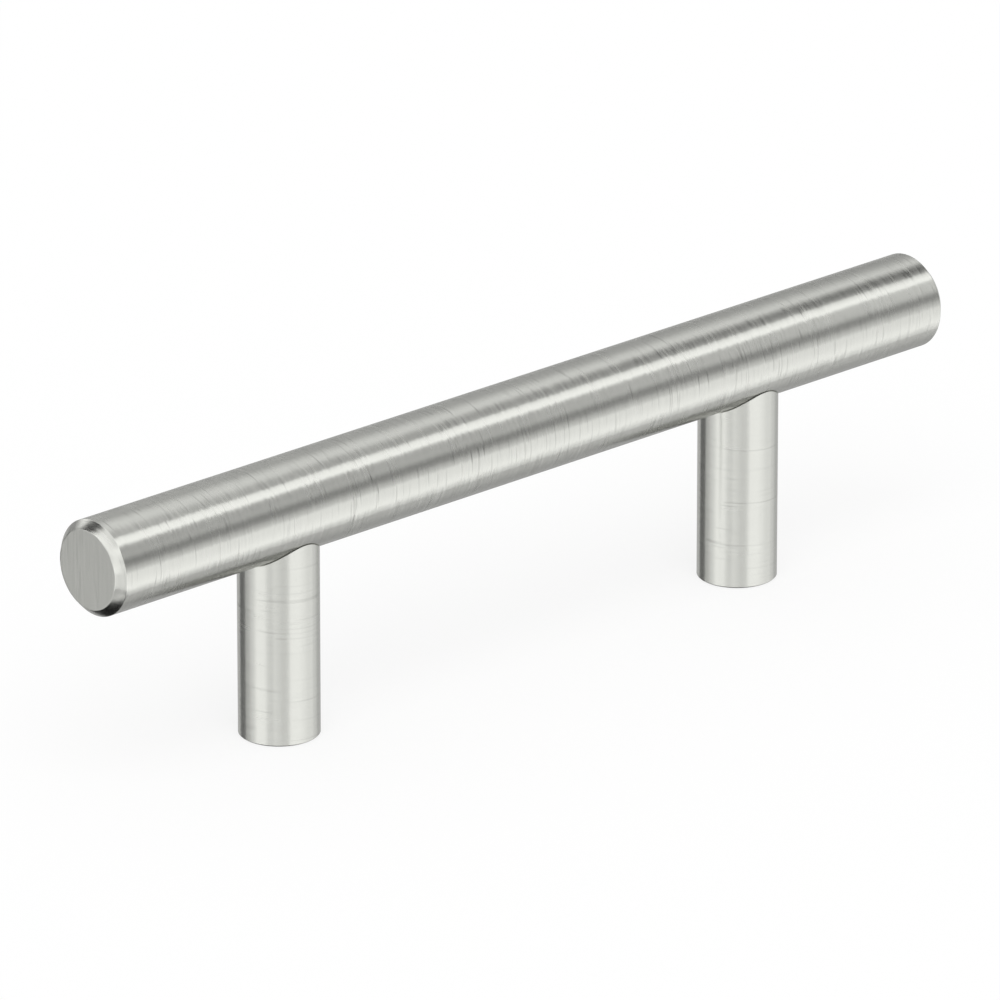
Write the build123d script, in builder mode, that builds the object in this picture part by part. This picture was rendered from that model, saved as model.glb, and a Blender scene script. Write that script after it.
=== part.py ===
"""T-bar cabinet pull: a round bar carried on two round posts.

The bar is one straight rod with a chamfer turned on each end. Each post is one short rod.
Its top is coped to the bar's own radius, so that it seats round the underside of the bar,
and it is drilled right through. The foot is tapped for the screw that comes through the
door, and the top for a headless stud with a hexagon socket. The stud is screwed half into
the post and half into a blind hole in the bar, and holds the two together.

Frame: the origin lies on the mounting face, midway between the posts. +X runs along the
bar, and +Z points away from the door. All sizes are in millimetres.
"""

from build123d import *

import os
from math import radians, tan

# Overall sizes
hole_spacing = 76.2  # 3 in, centre to centre of the mounting screws
projection = 35.0  # mounting face to the far side of the bar
bar_length = 136.5
bar_diameter = 12.0
post_diameter = 10.0

# Edges
bar_end_chamfer = 1.0
foot_edge_break = 0.15
seat_clearance = 0.01  # between the bar and the cope that it seats in

# Mounting thread in the foot: 8-32 UNC, at its tap drill size
screw_tap_drill = 3.45
screw_countersink_diameter = 4.6

# Joining stud, M5 with a 2.5 mm hexagon socket, and its tapped holes at tap drill size
stud_tap_drill = 4.2
stud_countersink_diameter = 5.4
stud_in_post = 7.5
stud_in_bar = 6.5
stud_clearance = 0.02  # round the stud, in both of its holes
stud_point_chamfer = 0.5
socket_across_flats = 2.5
socket_depth = 2.6
post_tap_runout = 0.5  # tapped depth below the stud
bar_tap_runout = 1.0  # drilled depth above the stud
drill_point_angle = 118.0
countersink_angle = 90.0

# Worked out from the sizes above
bar_radius = bar_diameter / 2
bar_axis_height = projection - bar_radius
seat_height = bar_axis_height - bar_radius
step_height = seat_height - stud_in_post - post_tap_runout
post_places = {"left": -hole_spacing / 2, "right": hole_spacing / 2}


def point_length(diameter, angle):
    """How far a cone of that width and point angle reaches."""
    return diameter / 2 / tan(radians(angle / 2))


def make_bar():
    """The grip: a solid rod with two blind holes for the studs in its underside."""
    with BuildPart() as bar:
        with BuildSketch(Plane.YZ.offset(-bar_length / 2)):
            with Locations((0, bar_axis_height)):
                Circle(bar_radius)
        extrude(amount=bar_length)
        chamfer(bar.edges().filter_by(GeomType.CIRCLE), bar_end_chamfer)

        drill_depth = stud_in_bar + bar_tap_runout
        for x in post_places.values():
            with Locations(Plane(origin=(x, 0, seat_height), z_dir=(0, 0, -1))):
                Hole(stud_tap_drill / 2, depth=drill_depth)
            with Locations((x, 0, seat_height + drill_depth)):
                Cone(
                    stud_tap_drill / 2,
                    0,
                    point_length(stud_tap_drill, drill_point_angle),
                    align=(Align.CENTER, Align.CENTER, Align.MIN),
                    mode=Mode.SUBTRACT,
                )
    bar.part.label = "bar"
    return bar.part


def make_post(side, x):
    """One leg: a rod coped to the bar at the top, with a stepped hole right through it."""
    with BuildPart() as post:
        with BuildSketch():
            with Locations((x, 0)):
                Circle(post_diameter / 2)
        extrude(amount=bar_axis_height)
        foot_edge = post.edges().filter_by(GeomType.CIRCLE).sort_by(Axis.Z)[0]
        chamfer(foot_edge, foot_edge_break)

        with BuildSketch(Plane.YZ.offset(x - post_diameter)):
            with Locations((0, bar_axis_height)):
                Circle(bar_radius + seat_clearance)
        extrude(amount=2 * post_diameter, mode=Mode.SUBTRACT)

        with Locations(Plane(origin=(x, 0, 0), z_dir=(0, 0, -1))):
            CounterSinkHole(
                screw_tap_drill / 2,
                screw_countersink_diameter / 2,
                depth=seat_height,
                counter_sink_angle=countersink_angle,
            )
        with Locations((x, 0, seat_height)):
            CounterSinkHole(
                stud_tap_drill / 2,
                stud_countersink_diameter / 2,
                depth=seat_height - step_height,
                counter_sink_angle=countersink_angle,
            )
    post.part.label = f"{side}_post"
    return post.part


def make_stud(side, x):
    """One joining stud: headless, with a hexagon socket in the end that faces the foot."""
    stud_foot = seat_height - stud_in_post
    with BuildPart() as stud:
        with BuildSketch(Plane.XY.offset(stud_foot)):
            with Locations((x, 0)):
                Circle(stud_tap_drill / 2 - stud_clearance)
        extrude(amount=stud_in_post + stud_in_bar)
        chamfer(stud.edges().filter_by(GeomType.CIRCLE), stud_point_chamfer)

        with BuildSketch(Plane.XY.offset(stud_foot)):
            with Locations((x, 0)):
                RegularPolygon(socket_across_flats / 2, side_count=6, major_radius=False)
        extrude(amount=socket_depth, mode=Mode.SUBTRACT)
        with Locations((x, 0, stud_foot + socket_depth)):
            Cone(
                socket_across_flats / 2,
                0,
                point_length(socket_across_flats, drill_point_angle),
                align=(Align.CENTER, Align.CENTER, Align.MIN),
                mode=Mode.SUBTRACT,
            )
    stud.part.label = f"{side}_stud"
    return stud.part


pieces = [make_bar()]
for side, x in post_places.items():
    pieces.append(make_post(side, x))
    pieces.append(make_stud(side, x))

os.makedirs("parts", exist_ok=True)
for piece in pieces:
    export_step(piece, f"parts/{piece.label}.step")
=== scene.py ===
# %% [markdown]
# A cabinet pull is a small, simple thing: a round bar on two round posts. What makes it look
# real is its finish. Satin nickel is brushed, and each brush line is a tiny groove. Light that
# meets the grooves is spread across them and stays sharp along them, so the metal shows long
# clean bands of light and dark. This lesson dresses the measured model of the pull with that
# finish. First comes the frame: it holds every size, so nothing here is measured twice.

# %% Load the frame
from math import atan2, cos, pi, radians, sin, sqrt, tan

import bmesh
import bpy
from mathutils import Matrix, Vector


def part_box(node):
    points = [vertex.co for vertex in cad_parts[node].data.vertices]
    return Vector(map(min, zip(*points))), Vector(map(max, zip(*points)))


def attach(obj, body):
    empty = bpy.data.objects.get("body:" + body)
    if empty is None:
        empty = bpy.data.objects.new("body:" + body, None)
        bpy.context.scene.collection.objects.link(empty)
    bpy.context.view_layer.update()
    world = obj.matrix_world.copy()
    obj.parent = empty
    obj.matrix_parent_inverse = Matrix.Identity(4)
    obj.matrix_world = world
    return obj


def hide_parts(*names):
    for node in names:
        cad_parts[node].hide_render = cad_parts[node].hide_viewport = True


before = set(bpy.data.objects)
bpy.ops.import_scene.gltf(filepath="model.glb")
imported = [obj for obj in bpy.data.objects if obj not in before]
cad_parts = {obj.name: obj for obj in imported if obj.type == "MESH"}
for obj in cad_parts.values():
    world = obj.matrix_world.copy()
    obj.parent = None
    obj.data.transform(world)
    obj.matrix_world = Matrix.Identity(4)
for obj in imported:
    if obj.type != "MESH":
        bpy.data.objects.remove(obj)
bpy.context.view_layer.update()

mm = 0.001

# %% [markdown]
# The frame's boxes give the sizes of each piece. The bar lies along X, the posts stand on the
# mounting face at Z = 0, and a headless stud inside each post ties it to the bar. Only the
# sizes that a box can't tell, such as the chamfer on the bar's ends, are written here.

# %% Read the sizes
bar_low, bar_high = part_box("bar")
post_low, post_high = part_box("left_post")
stud_low, stud_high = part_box("left_stud")

bar_length = bar_high.x - bar_low.x
bar_radius = (bar_high.z - bar_low.z) / 2
bar_axis = (bar_high.z + bar_low.z) / 2
post_radius = (post_high.x - post_low.x) / 2
post_x = (post_high.x + post_low.x) / 2
seat_height = bar_axis - bar_radius

bar_chamfer = 1.0 * mm
foot_edge_break = 0.15 * mm
rim_softness = 0.05 * mm
seat_clearance = 0.01 * mm
round_sides = 192
print(f"bar {bar_length / mm:.1f} x {2 * bar_radius / mm:.1f} mm, posts {2 * post_radius / mm:.1f} mm")

# %% [markdown]
# The photograph was taken from the left, a little above, through a very long lens: the two
# ends of the bar are almost the same size. A long lens far away does that, and a short lens
# close by doesn't. The camera looks along one direction, and is moved sideways and down in its
# own picture plane until the pull sits where it does in the photograph.

# %% Camera
camera_azimuth = radians(-42.629)
camera_elevation = radians(21.292)
camera_distance = 1557.4 * mm
camera_right = -1.416 * mm
camera_up = 18.529 * mm
camera_lens = 457.55  # mm, on the usual 36 mm wide sensor
camera_sees_to = 20.0

towards_camera = Vector((
    sin(camera_azimuth) * cos(camera_elevation),
    -cos(camera_azimuth) * cos(camera_elevation),
    sin(camera_elevation),
))
picture_right = Vector((0, 0, 1)).cross(towards_camera).normalized()
picture_up = towards_camera.cross(picture_right)

camera_place = (
    towards_camera * camera_distance + picture_right * camera_right + picture_up * camera_up
)
camera_turn = towards_camera.to_track_quat("Z", "Y").to_euler()
bpy.ops.object.select_all(action="DESELECT")
bpy.ops.object.camera_add(location=camera_place, rotation=camera_turn)
camera = bpy.context.object
camera.name = "photo_camera"
camera.data.lens = camera_lens
camera.data.clip_end = camera_sees_to
bpy.context.scene.camera = camera
bpy.context.scene.view_settings.view_transform = "Standard"
print("camera at", [round(value, 4) for value in camera_place])

# %% [markdown]
# Polished and brushed metal has almost no colour of its own. What is seen on it is the room.
# So the world gets two parts. To the floor, and to the camera, it is plain white. To the metal
# it is a photographer's studio: a pale ground, grey walls, long strip lights over the bar, a
# large soft light beside the camera, and black flags where the metal should look dark. All of
# it is made of shader nodes. These helpers add a node, set it and link it in one line each.

# %% Node helpers
def add_node(tree, kind, **settings):
    """Add a node to a tree and set what is named."""
    node = tree.nodes.new(kind)
    for name, value in settings.items():
        setattr(node, name, value)
    return node


def feed(tree, socket, value):
    """Give a socket a number, a vector or another node's output."""
    if isinstance(value, bpy.types.NodeSocket):
        tree.links.new(value, socket)
    else:
        socket.default_value = value


def calculate(tree, operation, *values):
    """One Math node."""
    node = add_node(tree, "ShaderNodeMath", operation=operation)
    for socket, value in zip(node.inputs, values):
        feed(tree, socket, value)
    return node.outputs[0]


def dot(tree, one, other):
    """The dot product of two directions: how far one points along the other."""
    node = add_node(tree, "ShaderNodeVectorMath", operation="DOT_PRODUCT")
    feed(tree, node.inputs[0], one)
    feed(tree, node.inputs[1], other)
    return node.outputs["Value"]


def remap(tree, value, low, high, to_low=0.0, to_high=1.0, steps="SMOOTHSTEP"):
    """A Map Range node, with soft ends."""
    node = add_node(tree, "ShaderNodeMapRange", interpolation_type=steps)
    for name, given in (
        ("Value", value), ("From Min", low), ("From Max", high),
        ("To Min", to_low), ("To Max", to_high),
    ):
        feed(tree, node.inputs[name], given)
    return node.outputs["Result"]


def mix_shaders(tree, share, one, other):
    """A Mix Shader node. A share of 0 gives the first shader, and 1 the second."""
    node = add_node(tree, "ShaderNodeMixShader")
    for socket, value in zip(node.inputs, (share, one, other)):
        feed(tree, socket, value)
    return node.outputs[0]


def bare_material(name):
    """A new material whose node tree is empty."""
    material = bpy.data.materials.new(name)
    material.use_nodes = True
    material.node_tree.nodes.clear()
    return material


# %% [markdown]
# Each light in the studio is a soft-edged panel, laid over what was there before, so one small
# node group can serve them all. A panel is a rectangle far away. Dividing a direction by its
# depth towards the panel gives the place where it meets the panel's plane, just as a pinhole
# camera would. Two soft steps then say how much of the panel is seen there. A third fades the
# panel out where a direction only grazes its plane, or points away from it.

# %% The soft panel
grazing = (0.02, 0.1)


def make_soft_panel():
    """A node group that lays one soft-edged rectangle of light over what is under it."""
    panel = bpy.data.node_groups.new("soft_panel", "ShaderNodeTree")
    for name, kind in (
        ("Direction", "NodeSocketVector"), ("Under", "NodeSocketFloat"),
        ("Centre", "NodeSocketVector"), ("Across", "NodeSocketVector"), ("Up", "NodeSocketVector"),
        ("Half Width", "NodeSocketFloat"), ("Half Height", "NodeSocketFloat"),
        ("Softness", "NodeSocketFloat"), ("Brightness", "NodeSocketFloat"),
    ):
        panel.interface.new_socket(name, in_out="INPUT", socket_type=kind)
    panel.interface.new_socket("Light", in_out="OUTPUT", socket_type="NodeSocketFloat")

    given = add_node(panel, "NodeGroupInput").outputs
    depth = dot(panel, given["Direction"], given["Centre"])
    seen = remap(panel, depth, *grazing)
    for axis, half in (("Across", "Half Width"), ("Up", "Half Height")):
        place = calculate(panel, "DIVIDE", dot(panel, given["Direction"], given[axis]), depth)
        place = calculate(panel, "ABSOLUTE", place)
        inner = calculate(panel, "SUBTRACT", given[half], given["Softness"])
        outer = calculate(panel, "ADD", given[half], given["Softness"])
        seen = calculate(panel, "MULTIPLY", seen, remap(panel, place, inner, outer, 1.0, 0.0))

    laid = add_node(panel, "ShaderNodeMix", data_type="FLOAT")
    feed(panel, laid.inputs["Factor"], seen)
    feed(panel, laid.inputs["A"], given["Under"])
    feed(panel, laid.inputs["B"], given["Brightness"])
    result = add_node(panel, "NodeGroupOutput")
    panel.links.new(laid.outputs["Result"], result.inputs["Light"])
    return panel


soft_panel = make_soft_panel()
print("nodes in a soft panel:", len(soft_panel.nodes))


def panel_axes(azimuth, elevation):
    """The directions of a panel's centre, of its width and of its height, as seen from the pull."""
    turn, rise = radians(azimuth), radians(elevation)
    centre = Vector((cos(turn) * cos(rise), sin(turn) * cos(rise), sin(rise)))
    across = Vector((-sin(turn), cos(turn), 0))
    return centre, across, centre.cross(across)


def hang_panel(tree, direction, under, azimuth, elevation, width, height, softness, brightness):
    """Hang one panel in the studio. Every size is an angle in degrees, as seen from the pull."""
    centre, across, up = panel_axes(azimuth, elevation)
    node = add_node(tree, "ShaderNodeGroup", node_tree=soft_panel)
    for name, value in (
        ("Direction", direction), ("Under", under),
        ("Centre", centre), ("Across", across), ("Up", up),
        ("Half Width", tan(radians(width / 2))), ("Half Height", tan(radians(height / 2))),
        ("Softness", tan(radians(softness))), ("Brightness", brightness),
    ):
        feed(tree, node.inputs[name], value)
    return node.outputs["Light"]


# %% [markdown]
# The studio's walls and ground depend only on how high one looks: black straight down under
# the pull, a pale ground around it, a dark band above the horizon, then grey walls and a bright
# ceiling. A colour ramp over the height of the direction holds these shades.

# %% Shades of the studio
shades_by_height = (
    (-1.00, 0.00), (-0.93, 0.22), (-0.87, 0.51), (-0.77, 0.88), (-0.64, 1.00), (-0.50, 0.69),
    (-0.34, 0.97), (-0.17, 0.96), (0.00, 0.52), (0.13, 0.19), (0.24, 0.20), (0.40, 0.56),
    (0.55, 0.40), (0.75, 0.53), (1.00, 1.27),
)

world = bpy.data.worlds.new("soft_studio")
world.use_nodes = True
bpy.context.scene.world = world
sky = world.node_tree
sky.nodes.clear()
direction = add_node(sky, "ShaderNodeTexCoord").outputs["Generated"]
split = add_node(sky, "ShaderNodeSeparateXYZ")
feed(sky, split.inputs[0], direction)

ramp = add_node(sky, "ShaderNodeValToRGB")
ramp.color_ramp.interpolation = "EASE"
feed(sky, ramp.inputs[0], remap(sky, split.outputs["Z"], -1, 1, steps="LINEAR"))
stops = ramp.color_ramp.elements
for height, shade in shades_by_height[1:-1]:
    stops.new((height + 1) / 2)
for stop, (height, shade) in zip(stops, shades_by_height):
    stop.position = (height + 1) / 2
    stop.color = (shade, shade, shade, 1)
light = ramp.outputs["Color"]
print("the studio has", len(shades_by_height), "shades from the ground to the ceiling")

# %% [markdown]
# The ground on the side away from the camera is dimmer, because the lights stand on the
# camera's side. So what is below the horizon loses some of its light, the more the further it
# is turned away. The ground and the walls meet in a soft blend and not in a line.

# %% The dimmer side
dim_azimuth = radians(68)
dim_side = Vector((cos(dim_azimuth), sin(dim_azimuth), 0))
dim_range = (0.06, 0.45)
dimmest = 0.59
horizon_blend = 0.1

turned_away = dot(sky, direction, dim_side)
dimming = remap(sky, turned_away, *dim_range, 1.0, dimmest)
near_ground = remap(sky, split.outputs["Z"], -horizon_blend, horizon_blend, 1.0, 0.0)
lost = calculate(sky, "MULTIPLY", near_ground, calculate(sky, "SUBTRACT", 1.0, dimming))
light = calculate(sky, "MULTIPLY", light, calculate(sky, "SUBTRACT", 1.0, lost))
print(f"the dimmer side keeps {dimmest:.0%} of its light")

# %% [markdown]
# Now the panels, in the order in which they hang: a later one hides what is behind it. Each has the
# azimuth and elevation of its middle, its width, height and softness, all in degrees, and its
# brightness.

# %% Hang the panels
panels = {
    "ground before the camera": (-126.7, -25.9, 60.2, 80.7, 1.7, 0.92),
    "large light beside the camera": (-192.9, 19.8, 114.0, 63.3, 0.9, 1.34),
    "front strip light": (-71.1, 55.3, 95.0, 18.8, 1.6, 1.39),
    "back strip light": (82.8, 58.5, 101.3, 19.2, 20.0, 1.01),
    "pale wall behind": (110.8, 28.5, 101.7, 22.8, 19.6, 1.42),
    "black flag": (122.9, 35.3, 28.0, 66.3, 0.6, 0.01),
    "right card": (-61.8, -29.3, 74.4, 44.0, 0.6, 1.42),
    "left card": (176.1, -11.7, 34.3, 62.4, 8.8, 1.34),
    "grey wall at the end": (176.3, 9.5, 41.9, 20.7, 5.0, 0.66),
    "thin black flag": (109.7, -10.8, 28.2, 24.7, 0.7, 0.02),
    "dark ground": (-159.4, -89.1, 88.8, 55.9, 2.6, 0.01),
    "low front light": (-32.4, -12.8, 48.3, 32.2, 19.8, 0.85),
    "grey ground on the left": (164.8, -45.3, 73.2, 10.9, 0.6, 0.03),
    "grey ground in front": (-87.8, -49.5, 54.2, 12.0, 0.9, 0.09),
}
for name, sizes in panels.items():
    light = hang_panel(sky, direction, light, *sizes)
print("panels hung in the studio:", len(panels))

# %% [markdown]
# Light Path tells the world who is asking. A glossy ray comes from the metal, and gets the
# studio. Any other ray gets plain white light. The camera sees that at full strength, straight
# or through something clear, so the background is white. The floor is lit by a part of it, and
# the lamp further down adds the rest.

# %% Who sees which world
white_strength = 0.75
path = add_node(sky, "ShaderNodeLightPath")
studio = add_node(sky, "ShaderNodeBackground")
feed(sky, studio.inputs["Color"], light)
plain = add_node(sky, "ShaderNodeBackground")
plain.inputs["Color"].default_value = (1, 1, 1, 1)
seen_directly = calculate(
    sky, "MAXIMUM", path.outputs["Is Camera Ray"], path.outputs["Is Transmission Ray"],
)
strength = remap(sky, seen_directly, 0, 1, white_strength, 1.0, "LINEAR")
feed(sky, plain.inputs["Strength"], strength)
either = mix_shaders(sky, path.outputs["Is Glossy Ray"], plain.outputs[0], studio.outputs[0])
sky_out = add_node(sky, "ShaderNodeOutputWorld")
feed(sky, sky_out.inputs["Surface"], either)
world.cycles.sampling_method = "NONE"
print("nodes in the world:", len(sky.nodes))

# %% [markdown]
# Everything in the world is endlessly far away, so the left and the right end of the bar see it
# alike. In the photograph they don't: the dark band on top of the bar gets darker to the right.
# Two small cards close to the pull do that. Each is a real plane with soft edges, which only
# glossy rays can see, so it colours the metal and never shows in the picture itself.

# %% Near cards
card_distance = 350 * mm
near_cards = {
    "near_dark_card": (1.3, 39.3, 15.6, 38.2, 7.0, 0.03),
    "near_pale_card": (-18.7, 24.2, 25.8, 16.5, 10.2, 1.39),
}


def stand_card(name, azimuth, elevation, width, height, softness, brightness):
    """Stand one soft-edged card near the pull. Its sizes are angles too."""
    centre, across, up = panel_axes(azimuth, elevation)
    soft = card_distance * tan(radians(softness))
    halves = [card_distance * tan(radians(size / 2)) for size in (width, height)]
    facing = Matrix((across, up, centre)).transposed().to_euler()
    bpy.ops.object.select_all(action="DESELECT")
    bpy.ops.mesh.primitive_plane_add(
        size=2 * (max(halves) + soft), location=centre * card_distance, rotation=facing,
    )
    card = bpy.context.object
    card.name = name
    card.visible_camera = False
    card.visible_diffuse = False
    card.visible_shadow = False

    board = bare_material(name)
    tree = board.node_tree
    place = add_node(tree, "ShaderNodeSeparateXYZ")
    feed(tree, place.inputs[0], add_node(tree, "ShaderNodeTexCoord").outputs["Object"])
    seen = 1.0
    for axis, half in zip("XY", halves):
        distance = calculate(tree, "ABSOLUTE", place.outputs[axis])
        edge = remap(tree, distance, half - soft, half + soft, 1.0, 0.0)
        seen = calculate(tree, "MULTIPLY", seen, edge)
    glow = add_node(tree, "ShaderNodeEmission")
    glow.inputs["Strength"].default_value = brightness
    clear = add_node(tree, "ShaderNodeBsdfTransparent")
    blend = mix_shaders(tree, seen, clear.outputs[0], glow.outputs[0])
    card_out = add_node(tree, "ShaderNodeOutputMaterial")
    feed(tree, card_out.inputs["Surface"], blend)
    board.cycles.emission_sampling = "NONE"
    card.data.materials.append(board)
    return card


for name, sizes in near_cards.items():
    card = stand_card(name, *sizes)
    print(name, "stands at", [round(value / mm) for value in card.location], "mm")

# %% [markdown]
# The floor is a wide white plane just under the feet. To the camera most of it is plain white,
# and the rest is lit, so the pull keeps a faint shadow. The metal doesn't see the floor: it has
# the studio's ground. Seen from below, the floor lets the camera look through, so that the feet
# can be inspected.

# %% Floor
floor_size = 8.0
floor_gap = 0.05 * mm
floor_white = 0.80
shadow_share = 0.25

bpy.ops.mesh.primitive_plane_add(size=floor_size, location=(0, 0, -floor_gap))
floor = bpy.context.object
floor.name = "pale_floor"
floor.visible_glossy = False

paper = bare_material("floor_paper")
sheet = paper.node_tree
to_camera = add_node(sheet, "ShaderNodeLightPath").outputs["Is Camera Ray"]
seen_white = add_node(sheet, "ShaderNodeEmission")
seen_white.inputs["Color"].default_value = (1, 1, 1, 1)
lit = add_node(sheet, "ShaderNodeBsdfDiffuse")
feed(sheet, lit.inputs["Color"], remap(sheet, to_camera, 0, 1, floor_white, 1.0, "LINEAR"))
lit_share = remap(sheet, to_camera, 0, 1, 1.0, shadow_share, "LINEAR")
part_lit = mix_shaders(sheet, lit_share, seen_white.outputs[0], lit.outputs[0])
from_below = add_node(sheet, "ShaderNodeNewGeometry").outputs["Backfacing"]
seen_through = calculate(sheet, "MULTIPLY", from_below, to_camera)
clear = add_node(sheet, "ShaderNodeBsdfTransparent")
sheet_out = add_node(sheet, "ShaderNodeOutputMaterial")
whole = mix_shaders(sheet, seen_through, part_lit, clear.outputs[0])
feed(sheet, sheet_out.inputs["Surface"], whole)
floor.data.materials.append(paper)
print(f"the floor shows {shadow_share:.0%} of its shadow")

# %% [markdown]
# The lamp is a sun with a very wide disc, a little to one side, so its shadow is soft. Its
# strength is what the white world leaves for it: together they light the floor fully.

# %% Lamp
lamp_tilt = radians(25)
lamp_width = radians(50)

bpy.ops.object.light_add(type="SUN", location=(0, 0, 1), rotation=(lamp_tilt, -lamp_tilt, 0))
lamp = bpy.context.object
lamp.name = "soft_overhead_lamp"
lamp.data.angle = lamp_width
lamp_direction = lamp.rotation_euler.to_matrix() @ Vector((0, 0, 1))
lamp.data.energy = (1 - white_strength) * pi / lamp_direction.z
lamp.visible_glossy = False
print(f"lamp at {lamp.data.energy:.2f} W per square metre, world at {white_strength:.0%}")

# %% [markdown]
# Modelling follows the workshop. Each piece starts as a plain cylinder of the rod that it was
# turned from, at its size and place. These helpers take one piece in hand, and pick its edges or
# faces by where they are. Picking by place keeps working when a size changes.

# %% Modelling helpers
near_enough = 0.002 * mm


def near(value, target):
    """True where a distance is what it should be, to a hair."""
    return abs(value - target) < near_enough


def take_up(piece):
    """Select one piece alone and make it the active one."""
    bpy.ops.object.select_all(action="DESELECT")
    piece.select_set(True)
    bpy.context.view_layer.objects.active = piece


def add_rod(name, radius, start, end, sides=round_sides):
    """A capped cylinder between two points, with its place in its mesh."""
    along = end - start
    bpy.ops.object.select_all(action="DESELECT")
    bpy.ops.mesh.primitive_cylinder_add(
        vertices=sides, radius=radius, depth=along.length,
        location=(start + end) / 2, rotation=along.to_track_quat("Z", "Y").to_euler(),
    )
    rod = bpy.context.object
    rod.name = name
    bpy.ops.object.transform_apply(location=True, rotation=True, scale=True)
    return rod


def pick(piece, kind, wanted):
    """In edit mode, select just the edges or faces whose corners all pass a test."""
    bpy.ops.mesh.select_mode(type=kind)
    bpy.ops.mesh.select_all(action="DESELECT")
    mesh = bmesh.from_edit_mesh(piece.data)
    parts = mesh.edges if kind == "EDGE" else mesh.faces
    found = [part for part in parts if all(wanted(corner.co) for corner in part.verts)]
    for part in found:
        part.select_set(True)
    bmesh.update_edit_mesh(piece.data)
    return len(found)


# %% [markdown]
# Three kinds of cut shape the pieces. A bevel turns an edge back, as a lathe tool or a file does.
# A boolean takes a cutter away, as a drill or a tap does. A bisect cuts along a plane. Where it
# takes nothing away, it only adds a loop of edges, which helps the shading.

# %% Cuts
tiny = 1e-7


def bevel_ring(piece, wanted, width, segments=1):
    """Bevel the edges of one ring: a chamfer with one segment, a soft rim with more."""
    take_up(piece)
    bpy.ops.object.mode_set(mode="EDIT")
    count = pick(piece, "EDGE", wanted)
    bpy.ops.mesh.bevel(
        offset=width, offset_type="OFFSET", segments=segments, affect="EDGES", clamp_overlap=False,
    )
    bpy.ops.object.mode_set(mode="OBJECT")
    return count


def combine(piece, cutter, operation="DIFFERENCE"):
    """Subtract a cutter from a piece, or join or intersect the two, then throw the cutter away."""
    take_up(piece)
    step = piece.modifiers.new("cut", "BOOLEAN")
    step.operation = operation
    step.solver = "MANIFOLD"
    step.object = cutter
    bpy.ops.object.modifier_apply(modifier=step.name)
    bpy.data.objects.remove(cutter)


def add_loops(piece, axis, places):
    """Bisect a piece square to an axis at each place, and cut nothing away."""
    take_up(piece)
    bpy.ops.object.mode_set(mode="EDIT")
    for place in places:
        bpy.ops.mesh.select_all(action="SELECT")
        bpy.ops.mesh.bisect(plane_co=axis * place, plane_no=axis, threshold=tiny)
    bpy.ops.object.mode_set(mode="OBJECT")


# %% [markdown]
# The bar is one straight rod. On a lathe each end is faced flat and its edge is turned back at
# 45 degrees. A bevel with one segment is that cut. Two more, very small bevels soften the rims
# that the cut leaves, because no real edge is perfectly sharp, and a soft rim catches a thin
# line of light.

# %% The bar
to_end = Vector((bar_length / 2, 0, 0))
bar_middle = Vector((0, 0, bar_axis))
bar = add_rod("brushed_bar", bar_radius, bar_middle - to_end, bar_middle + to_end)


def from_bar_axis(place):
    """The distance of a point from the bar's middle line."""
    return Vector((place.y, place.z - bar_axis)).length


def on_bar_ring(x, radius):
    """A test for the ring of that radius at one place along the bar."""
    def on_ring(place):
        return near(place.x, x) and near(from_bar_axis(place), radius)
    return on_ring


for end in (-1, 1):
    face_x = end * bar_length / 2
    side_x = end * (bar_length / 2 - bar_chamfer)
    print("end edges:", bevel_ring(bar, on_bar_ring(face_x, bar_radius), bar_chamfer))
    bevel_ring(bar, on_bar_ring(side_x, bar_radius), rim_softness, segments=2)
    bevel_ring(bar, on_bar_ring(face_x, bar_radius - bar_chamfer), rim_softness, segments=2)

# %% [markdown]
# A blind tapped hole in the underside takes each stud. Cutting a hole into faces as long as the
# bar would disturb its shading from end to end. So the bar first gets a loop of edges on each
# side of each post: a bisect that cuts nothing away. The hole's mess then stays under the post.

# %% Loops beside the holes
hidden_half = 0.9 * post_radius
beside_posts = [
    side * abs(post_x) + step for side in (-1, 1) for step in (-hidden_half, hidden_half)
]
add_loops(bar, Vector((1, 0, 0)), beside_posts)
print("faces on the bar:", len(bar.data.polygons))

# %% [markdown]
# Each post is one short rod. Its top is coped: cut to the bar's own radius, so that it seats
# round the underside of the bar. Where its edges lie follows from the two radii: the rim of the
# foot is a plain circle, but the lip of the cope rises and falls round the post.

# %% Where the post's edges are
cope_radius = bar_radius + seat_clearance
edge_miss = 0.01 * mm


def at(height, x=post_x):
    """A point on the left post's middle line, or on another upright line."""
    return Vector((x, 0, height))


def from_post_axis(place):
    """The distance of a point from the left post's middle line."""
    return Vector((place.x - post_x, place.y)).length


def on_foot_edge(place):
    """On the rim of the foot."""
    return near(place.z, 0) and near(from_post_axis(place), post_radius)


def on_lip(below):
    """A test for the outer edge of the cope, once it has been lowered by that much."""
    def on_edge(place):
        round_height = bar_axis - sqrt(cope_radius ** 2 - place.y ** 2)
        off_height = abs(round_height - below - place.z)
        return near(from_post_axis(place), post_radius) and off_height < edge_miss
    return on_edge


print(f"the cope is cut to a radius of {cope_radius / mm:.2f} mm")

# %% [markdown]
# A rod a hair wider than the bar is laid across as a gauge. The post's flat top gets a set of
# rings by insets, and a Shrinkwrap modifier lifts them onto the gauge. That keeps every face in
# a ring, so the lip can be bevelled cleanly. A boolean would leave long thin faces there. The
# gauge lies a little low, because one more step lifts the seat to its height.

# %% Cope the left post
lip_band = 0.15 * mm
below_seat = 1.0 * mm
ring_steps = (0.3, 0.4, 0.5, 0.5, 0.5, 0.4, 0.4)
cope_half = 2 * post_radius

left_post = add_rod("coped_left_post", post_radius, at(0), at(seat_height - below_seat))
gauge_start = at(bar_axis - lip_band, post_x - cope_half)
gauge_end = at(bar_axis - lip_band, post_x + cope_half)
gauge = add_rod("gauge", cope_radius, gauge_start, gauge_end)

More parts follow.
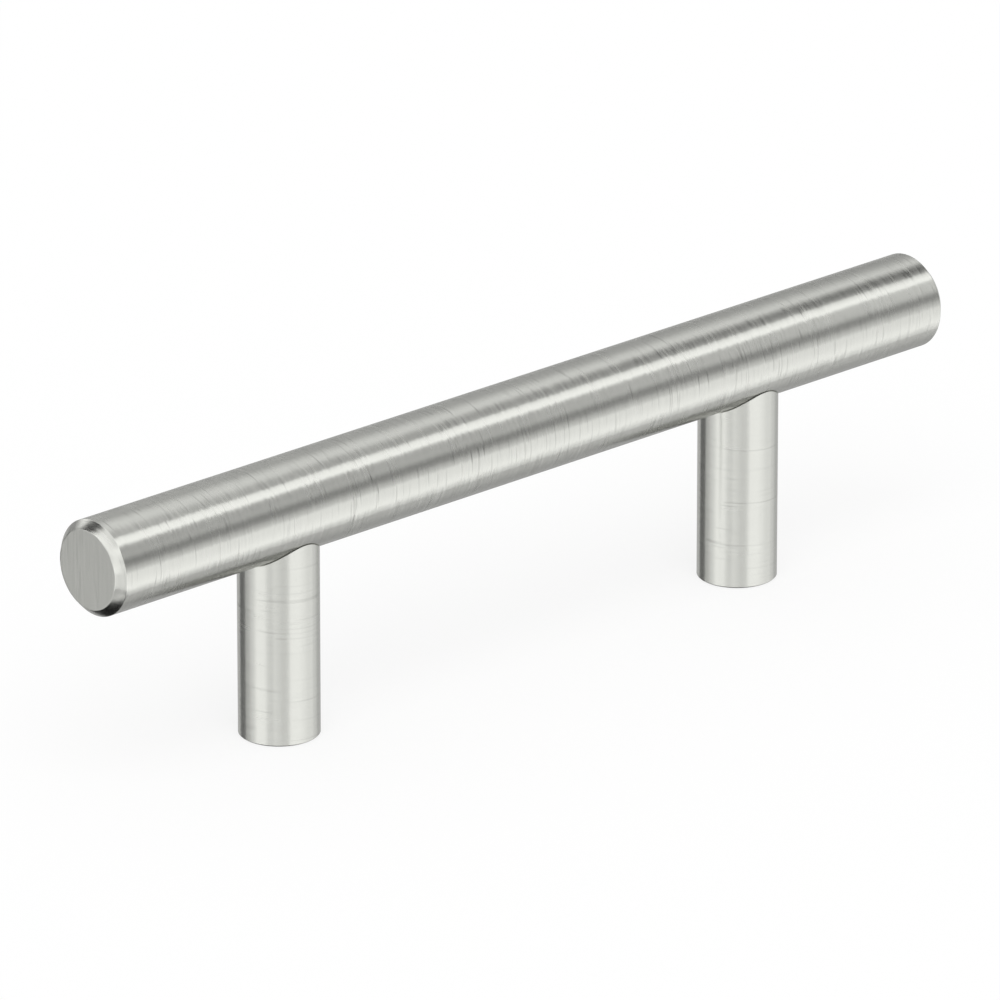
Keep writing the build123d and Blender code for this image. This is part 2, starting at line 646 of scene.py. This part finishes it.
take_up(left_post)
bpy.ops.object.mode_set(mode="EDIT")
pick(left_post, "FACE", lambda place: near(place.z, seat_height - below_seat))
bpy.ops.mesh.extrude_region_move(TRANSFORM_OT_translate={"value": (0, 0, below_seat / 2)})
for step in ring_steps:
    bpy.ops.mesh.inset(thickness=step * mm, use_even_offset=True)
seat = left_post.vertex_groups.new(name="seat")
pick(left_post, "FACE", lambda place: near(place.z, seat_height - below_seat / 2))
bpy.ops.object.vertex_group_assign()
bpy.ops.object.mode_set(mode="OBJECT")

fit = left_post.modifiers.new("fit", "SHRINKWRAP")
fit.target = gauge
fit.vertex_group = seat.name
fit.wrap_method = "PROJECT"
fit.use_project_z = True
bpy.ops.object.modifier_apply(modifier=fit.name)
bpy.data.objects.remove(gauge)
print("faces on the coped post:", len(left_post.data.polygons))

# %% [markdown]
# The last extrude leaves a narrow band of faces under the lip, which keeps the shading of the
# tall faces below it straight. The lip itself is then lowered by a hair. A real joint has such
# a slit too, and it reads as a thin dark line under the bar. The foot's rim is broken with a
# plain chamfer, and the lip is softened.

# %% The lip and the foot
lip_softness = 0.08 * mm
slit = 0.09 * mm

bpy.ops.object.mode_set(mode="EDIT")
bpy.ops.mesh.select_mode(type="FACE")
bpy.ops.mesh.select_all(action="DESELECT")
bpy.ops.object.vertex_group_select()
bpy.ops.mesh.extrude_region_move(TRANSFORM_OT_translate={"value": (0, 0, lip_band)})
print("edges lowered:", pick(left_post, "EDGE", on_lip(0)))
bpy.ops.transform.translate(value=(0, 0, -slit))
bpy.ops.object.mode_set(mode="OBJECT")
left_post.vertex_groups.clear()

print("foot edges:", bevel_ring(left_post, on_foot_edge, foot_edge_break))
print("lip edges:", bevel_ring(left_post, on_lip(slit), lip_softness, segments=2))
lip_top = max(corner.co.z for corner in left_post.data.vertices)
print(f"top of the lip: {lip_top / mm:.3f} mm")

# %% [markdown]
# A thread is one small profile that climbs as it turns. The profile of a single pitch is drawn
# as a zigzag, and the Screw modifier turns and lifts it again and again. Bisects trim the ends
# flat and cap them. The result is a tap, and subtracting it from a hole cuts the thread that
# such a tap would cut. The same shape, a hair thinner, is the stud that screws into it, and
# because both climb from the same height, their turns lie inside one another.

# %% Threads
turn_steps = 48
thread_depth = 0.5413  # of the pitch, for both of the threads used here
spare_pitches = 2
sliver = 0.001 * mm


def make_thread(name, major, pitch, low, high):
    """A threaded rod on the left post's middle line. All its turns are counted from Z = 0."""
    root = major - thread_depth * pitch
    bottom = (int(low / pitch) - spare_pitches) * pitch
    flat = pitch / 8
    profile = (
        (root, 0), (root, pitch / 4 - flat / 2), (major, pitch * 5 / 8 - flat / 2),
        (major, pitch * 5 / 8 + flat / 2), (root, pitch),
    )
    mesh = bpy.data.meshes.new(name)
    links = [(i, i + 1) for i in range(len(profile) - 1)]
    mesh.from_pydata([(x, 0, bottom + z) for x, z in profile], links, [])
    thread = bpy.data.objects.new(name, mesh)
    bpy.context.scene.collection.objects.link(thread)
    take_up(thread)
    climb = thread.modifiers.new("climb", "SCREW")
    climb.screw_offset = pitch
    climb.iterations = int((high - bottom) / pitch) + spare_pitches
    climb.steps = turn_steps
    climb.render_steps = turn_steps
    bpy.ops.object.modifier_apply(modifier=climb.name)

    bpy.ops.object.mode_set(mode="EDIT")
    bpy.ops.mesh.select_all(action="SELECT")
    bpy.ops.mesh.remove_doubles(threshold=sliver)
    for height, at_foot in ((low, True), (high, False)):
        bpy.ops.mesh.select_all(action="SELECT")
        bpy.ops.mesh.bisect(
            plane_co=at(height, 0), plane_no=(0, 0, 1), use_fill=True,
            clear_inner=at_foot, clear_outer=not at_foot, threshold=tiny,
        )
    bpy.ops.mesh.select_all(action="SELECT")
    bpy.ops.mesh.normals_make_consistent(inside=False)
    bpy.ops.transform.translate(value=at(0))
    bpy.ops.object.mode_set(mode="OBJECT")
    return thread


# %% [markdown]
# The cuts that follow leave faces with dozens of corners, and some as thin as a hair. So each
# piece is cleaned up after its last cut: its faces become triangles, and the slivers among them
# are closed. A count of open edges then shows whether the piece is still one closed skin.

# %% Clean up and check
def open_edges(piece):
    """How many edges don't join exactly two faces. A closed shape has none."""
    mesh = bmesh.new()
    mesh.from_mesh(piece.data)
    count = sum(len(edge.link_faces) != 2 for edge in mesh.edges)
    mesh.free()
    return count


def clean_up(piece):
    """Cut the faces into triangles, and close up those that are thinner than a sliver."""
    take_up(piece)
    bpy.ops.object.mode_set(mode="EDIT")
    bpy.ops.mesh.select_all(action="SELECT")
    bpy.ops.mesh.quads_convert_to_tris(quad_method="BEAUTY", ngon_method="BEAUTY")
    bpy.ops.mesh.dissolve_degenerate(threshold=sliver)
    bpy.ops.object.mode_set(mode="OBJECT")
    print(f"{piece.name}: {len(piece.data.polygons)} faces, {open_edges(piece)} open edges")


# %% [markdown]
# Now the hidden holes. Each is made as in the workshop: drill, countersink, then tap. The tap
# cuts outward from the drilled wall, so the crests of the thread keep the drilled width. The
# stud's thread is M5, and the one in the foot is 8-32, as cabinet screws have. Both holes meet
# in the post at a step, so the key for the stud can pass through the foot.

# %% Drill, countersink and tap the post
hole_sides = 96
over = 1.0 * mm
step_height = 15.0 * mm
screw_drill = 1.725 * mm
screw_major = 2.083 * mm
screw_pitch = 25.4 / 32 * mm
screw_countersink = 2.3 * mm
stud_drill = 2.1 * mm
stud_major = 2.5 * mm
stud_pitch = 0.8 * mm
stud_countersink = 2.7 * mm


def add_cone(name, low, low_radius, high, high_radius):
    """A cone, or a slice of one, on the left post's middle line."""
    bpy.ops.object.select_all(action="DESELECT")
    bpy.ops.mesh.primitive_cone_add(
        vertices=hole_sides, radius1=low_radius, radius2=high_radius, depth=high - low,
        location=at((low + high) / 2),
    )
    cone = bpy.context.object
    cone.name = name
    bpy.ops.object.transform_apply(location=True, rotation=True, scale=True)
    return cone


combine(left_post, add_rod("drill", screw_drill, at(-over), at(step_height + over), hole_sides))
combine(left_post, add_cone(
    "countersink", -over, screw_countersink + over, over, screw_countersink - over,
))
combine(left_post, make_thread("tap", screw_major, screw_pitch, -over, step_height + over / 2))
combine(left_post, add_rod("drill", stud_drill, at(step_height), at(bar_axis), hole_sides))
combine(left_post, add_cone(
    "countersink",
    seat_height - over, stud_countersink - over, seat_height + over, stud_countersink + over,
))
tap_start = step_height + stud_pitch / 4
combine(left_post, make_thread("tap", stud_major, stud_pitch, tap_start, bar_axis))
clean_up(left_post)

# %% [markdown]
# The bar's holes get the same drill and tap, but they are blind: the drill stops inside the bar
# and leaves the cone of its point. The cone starts a little inside the drill and a hair
# narrower, so that the two join cleanly. Both cutters are modelled once, on the left post's
# line, and copied to the right one's. Each copy has a mesh of its own.

# %% Holes in the bar
stud_drill_depth = 7.5 * mm
tap_short_of_end = 0.5 * mm
stud_drill_end = seat_height + stud_drill_depth
tap_end = stud_drill_end - tap_short_of_end
point_angle = radians(118)
point_slope = tan(point_angle / 2)
point_overlap = 0.1
point_width = 0.999
post_step = Vector((-2 * post_x, 0, 0))


def add_drill_with_point(radius, low, high):
    """A drill with its cone, as one closed cutter."""
    bit = add_rod("bit", radius, at(low), at(high), hole_sides)
    tip = high + radius / point_slope
    point = add_cone("point", high - radius * point_overlap, radius * point_width, tip, 0)
    combine(bit, point, "UNION")
    return bit


def copy_to_right(piece, name):
    """A copy with its own mesh, moved from the left post's line to the right one's."""
    take_up(piece)
    bpy.ops.object.duplicate()
    twin = bpy.context.object
    twin.name = name
    bpy.ops.object.mode_set(mode="EDIT")
    bpy.ops.mesh.select_all(action="SELECT")
    bpy.ops.transform.translate(value=post_step)
    bpy.ops.object.mode_set(mode="OBJECT")
    return twin


for cutter in (
    add_drill_with_point(stud_drill, seat_height - over, stud_drill_end),
    make_thread("tap", stud_major, stud_pitch, seat_height - over, tap_end),
):
    twin = copy_to_right(cutter, "right_cutter")
    combine(bar, cutter)
    combine(bar, twin)
clean_up(bar)

# %% [markdown]
# The stud is the other half of that thread, a hair thinner so that it turns freely. It is cut
# by a die: the thread and a chamfered blank are laid over one another, and what both fill
# stays. A hexagon socket in the lower end takes the key. The socket is drilled first, a little
# narrower than the hexagon, and the drill's cone is what stays at its bottom.

# %% The left stud
stud_clearance = 0.04 * mm
stud_chamfer = 0.5 * mm
stud_foot = stud_low.z
stud_top = stud_high.z
stud_radius = stud_major - stud_clearance
blank_spare = 0.005 * mm
socket_radius = 1.25 * mm
socket_corner = socket_radius / cos(radians(30))
socket_drill = socket_radius - 0.05 * mm
socket_depth = 2.6 * mm
hexagon = 6

left_stud = make_thread(
    "threaded_left_stud", stud_radius, stud_pitch, stud_foot - over, stud_top + over,
)
blank = add_rod("blank", stud_radius + blank_spare, at(stud_foot), at(stud_top), hole_sides)
for height in (stud_foot, stud_top):
    bevel_ring(blank, lambda place: near(place.z, height), stud_chamfer)
combine(left_stud, blank, "INTERSECT")
combine(left_stud, add_drill_with_point(socket_drill, stud_foot - over, stud_foot + socket_depth))
key_end = stud_foot + socket_depth - socket_drill * point_overlap
combine(left_stud, add_rod("key", socket_corner, at(stud_foot - over), at(key_end), hexagon))
clean_up(left_stud)

# %% [markdown]
# The right post and its stud are the same parts again, so they are copies with meshes of their
# own. The pieces then get smooth shading. An edge of more than 30 degrees stays sharp. Weighted
# normals let the large faces win over the tiny soft rims, so that flat ends shade truly flat.

# %% Copies and smooth shading
right_post = copy_to_right(left_post, "coped_right_post")
right_stud = copy_to_right(left_stud, "threaded_right_stud")
sharp_angle = radians(30)

for piece in (bar, left_post, right_post, left_stud, right_stud):
    take_up(piece)
    bpy.ops.object.shade_smooth_by_angle(angle=sharp_angle)
    weigh = piece.modifiers.new("weigh", "WEIGHTED_NORMAL")
    weigh.keep_sharp = True
    bpy.ops.object.modifier_apply(modifier=weigh.name)
    print(piece.name, "open edges:", open_edges(piece))

# %% [markdown]
# Brushing has a direction, and the shader has to be told. Each face gets a UV map whose U runs
# across the grooves and V along them. The rods were brushed while they turned, so there U is
# the way along the rod, down a chamfer too, and V goes round it. The flat ends were brushed
# straight up and down. The brush also bit deeper in some places than in others: most on the
# bar, less on the posts and least on the flat ends. A number on each face holds that.

# %% The grain map
bar_depth = 1.0
post_depth = 0.65
flat_depth = 0.4
flat_lean = 0.95


def lay_grain(piece, origin, axis, flat_across, depth):
    """Write how the brush ran over each face, and how deep it bit."""
    upright = axis.cross(flat_across)
    mesh = bmesh.new()
    mesh.from_mesh(piece.data)
    grain = mesh.loops.layers.uv.new("grain")
    bite = mesh.faces.layers.float.new("brush_depth")
    for face in mesh.faces:
        lean = face.normal.dot(axis)
        is_flat = abs(lean) > flat_lean
        face[bite] = flat_depth if is_flat else depth
        middle = face.calc_center_median() - origin
        start = atan2(middle.dot(upright), middle.dot(flat_across))
        for corner in face.loops:
            place = corner.vert.co - origin
            across, up = place.dot(flat_across), place.dot(upright)
            if is_flat:
                corner[grain].uv = (across, up)
                continue
            distance = Vector((across, up)).length
            turn = (atan2(up, across) - start + pi) % (2 * pi) - pi + start
            slope = -distance if lean > 0 else distance
            corner[grain].uv = (place.dot(axis) + slope, turn * bar_radius)
    mesh.to_mesh(piece.data)
    mesh.free()


along_x, along_y, along_z = Vector((1, 0, 0)), Vector((0, 1, 0)), Vector((0, 0, 1))
lay_grain(bar, at(bar_axis, 0), along_x, along_y, bar_depth)
for piece in (left_post, left_stud):
    lay_grain(piece, at(0), along_z, along_x, post_depth)
for piece in (right_post, right_stud):
    lay_grain(piece, at(0) + post_step, along_z, along_x, post_depth)
print("grain map laid on 5 pieces, deepest on the bar:", bar_depth)

# %% [markdown]
# Satin nickel is a warm pale grey metal, and brushing cuts thousands of grooves into it. The
# Principled shader's anisotropy stands for all of them at once: it spreads each highlight
# across the grooves. What makes it look brushed and not just blurred is that no two grooves
# are alike, so the border of every reflection is ragged. A noise can say how each groove
# differs. It is read fast across the grain and slowly along it, and that draws its spots out
# into lines as long as a brush stroke.

# %% Noise along the grain
hair_steps = (2500, 150)  # across the grooves and along them, per metre
cluster_steps = (550, 90)
nick_steps = (3200, 240)
wander_steps = 160
wander_width = 0.12 * mm
noise_middle = 0.5


def add_noise(tree, vector, detail=0):
    """A Noise Texture and the three grey values in its colour."""
    node = add_node(tree, "ShaderNodeTexNoise")
    feed(tree, node.inputs["Vector"], vector)
    node.inputs["Scale"].default_value = 1.0
    node.inputs["Detail"].default_value = detail
    channels = add_node(tree, "ShaderNodeSeparateColor")
    feed(tree, channels.inputs[0], node.outputs["Color"])
    return channels.outputs


def centred(tree, value, amount):
    """Centre a noise on zero and scale it."""
    return calculate(tree, "MULTIPLY", calculate(tree, "SUBTRACT", value, noise_middle), amount)


def grain_place(tree, across_grain, steps):
    """A place that changes fast across the grooves and slowly along them."""
    across, along = steps
    slow = add_node(tree, "ShaderNodeVectorMath", operation="SCALE")
    feed(tree, slow.inputs[0], add_node(tree, "ShaderNodeTexCoord").outputs["Object"])
    slow.inputs["Scale"].default_value = along
    fast = add_node(tree, "ShaderNodeCombineXYZ")
    feed(tree, fast.inputs["X"], calculate(tree, "MULTIPLY", across_grain, across))
    both = add_node(tree, "ShaderNodeVectorMath", operation="ADD")
    feed(tree, both.inputs[0], slow.outputs[0])
    feed(tree, both.inputs[1], fast.outputs[0])
    return both.outputs[0]


def wandering_grain(tree):
    """How far across the grain a point lies, with grooves that don't run perfectly straight."""
    wander = add_node(tree, "ShaderNodeTexNoise")
    wander.inputs["Scale"].default_value = wander_steps
    feed(tree, wander.inputs["Vector"], add_node(tree, "ShaderNodeTexCoord").outputs["Object"])
    grain = add_node(tree, "ShaderNodeSeparateXYZ")
    feed(tree, grain.inputs[0], add_node(tree, "ShaderNodeUVMap", uv_map="grain").outputs["UV"])
    drift = centred(tree, wander.outputs["Fac"], wander_width)
    return calculate(tree, "ADD", grain.outputs["X"], drift)


hair_width, hair_length = [1 / steps / mm for steps in hair_steps]
print(f"a hair is about {hair_width:.1f} mm wide and {hair_length:.0f} mm long")

# %% [markdown]
# A groove mostly shows by its lean: the metal beside it mirrors another part of the room. So
# the marks tilt the surface, through a Normal Map node, where a tilt is set as a slope. A
# bump's height would have to be found by trial. No tilt is half way up the colour's scale, and
# the face's own brush depth scales the lean on either side of that.

# %% Tilt the surface
no_tilt = 0.5


def tilt_surface(tree, shader, across_lean, along_lean, depth):
    """Turn the shader's normal by the two leans, as slopes on the grain map."""
    tilt = add_node(tree, "ShaderNodeCombineXYZ")
    feed(tree, tilt.inputs["X"], calculate(tree, "MULTIPLY_ADD", across_lean, depth, no_tilt))
    feed(tree, tilt.inputs["Y"], calculate(tree, "MULTIPLY_ADD", along_lean, depth, no_tilt))
    tilt.inputs["Z"].default_value = 1.0
    tilted = add_node(tree, "ShaderNodeNormalMap", uv_map="grain")
    feed(tree, tilted.inputs["Color"], tilt.outputs[0])
    feed(tree, shader.inputs["Normal"], tilted.outputs[0])


# %% [markdown]
# Three noises make the brush marks. Hairs are the fine lines. Nicks are the few deep ones, cut
# from the peaks of their noise. Clusters are the patches where the brush bit more, or less. All
# three tilt the surface. Hairs and nicks shade the metal a little too, and hairs change how
# rough it is. Each slope, shade and spread is small, and was found by trying values against the
# look of the real finish.

# %% Brushed metal
across_slope = 0.030
along_slope = 0.024
nick_slope = 0.08
cluster_slope = 0.007
hair_shade = 0.075
nick_shade = 0.09
rough_spread = 0.12
cluster_range = (0.42, 0.62)
patch_depths = (0.55, 1.5)
nick_peaks = (0.66, 0.74)


def brushed_metal(name, colour, roughness, anisotropy):
    """A brushed metal that follows the grain map, as deep as each face's brush depth says."""
    metal = bpy.data.materials.new(name)
    metal.use_nodes = True
    tree = metal.node_tree
    shader = tree.nodes["Principled BSDF"]
    shader.inputs["Metallic"].default_value = 1.0
    shader.inputs["Anisotropic"].default_value = anisotropy
    across_grooves = add_node(tree, "ShaderNodeTangent", direction_type="UV_MAP", uv_map="grain")
    feed(tree, shader.inputs["Tangent"], across_grooves.outputs[0])

    across_grain = wandering_grain(tree)
    hairs = add_noise(tree, grain_place(tree, across_grain, hair_steps), detail=1)
    clusters = add_noise(tree, grain_place(tree, across_grain, cluster_steps), detail=1)
    nicks = add_noise(tree, grain_place(tree, across_grain, nick_steps))
    patch = remap(tree, clusters["Red"], *cluster_range, *patch_depths)
    nick = remap(tree, nicks["Red"], *nick_peaks)
    bite = add_node(tree, "ShaderNodeAttribute", attribute_name="brush_depth").outputs["Fac"]
    depth = calculate(tree, "MULTIPLY", bite, patch)

    nick_lean = calculate(tree, "MULTIPLY", nick, centred(tree, nicks["Green"], nick_slope))
    along_lean = calculate(tree, "ADD", centred(tree, hairs["Red"], along_slope), nick_lean)
    cluster_lean = centred(tree, clusters["Green"], cluster_slope)
    along_lean = calculate(tree, "ADD", along_lean, cluster_lean)
    across_lean = centred(tree, hairs["Blue"], across_slope)
    tilt_surface(tree, shader, across_lean, along_lean, depth)

    hair_light = calculate(tree, "MULTIPLY", centred(tree, hairs["Green"], hair_shade), patch)
    nick_dark = calculate(tree, "MULTIPLY", nick, calculate(tree, "MULTIPLY", depth, nick_shade))
    shade = calculate(tree, "SUBTRACT", hair_light, nick_dark)
    tint = add_node(tree, "ShaderNodeVectorMath", operation="SCALE")
    tint.inputs[0].default_value = colour
    feed(tree, tint.inputs["Scale"], calculate(tree, "ADD", shade, 1.0))
    feed(tree, shader.inputs["Base Color"], tint.outputs[0])
    spread = centred(tree, hairs["Green"], rough_spread)
    rough = calculate(tree, "MULTIPLY_ADD", spread, depth, roughness)
    feed(tree, shader.inputs["Roughness"], rough)
    return metal


# %% [markdown]
# Nickel is a little yellower than grey. The same recipe serves for the zinc of the studs, which
# is a little bluer and darker. Its highlight is spread less to one side.

# %% Nickel and zinc
nickel_colour = (0.665, 0.670, 0.632)
zinc_colour = (0.56, 0.57, 0.58)

satin_nickel = brushed_metal("satin_nickel", nickel_colour, roughness=0.25, anisotropy=0.9)
zinc = brushed_metal("bright_zinc", zinc_colour, roughness=0.22, anisotropy=0.4)
print("nickel and zinc made with", len(satin_nickel.node_tree.nodes), "nodes each")

# %% [markdown]
# Last, every piece gets its finish and hangs from the pull's body, and the frame's own part that it
# stands for is hidden. The whole pull is one body, because nothing on it moves.

# %% Finish the pieces and hide the frame's parts
stands_for = (
    (bar, "bar", "satin_nickel", satin_nickel),
    (left_post, "left_post", "satin_nickel", satin_nickel),
    (right_post, "right_post", "satin_nickel", satin_nickel),
    (left_stud, "left_stud", "zinc_steel", zinc),
    (right_stud, "right_stud", "zinc_steel", zinc),
)
for piece, node, slot, metal in stands_for:
    piece.data.materials.clear()
    piece.data.materials.append(metal)
    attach(piece, "root")
    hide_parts(node)
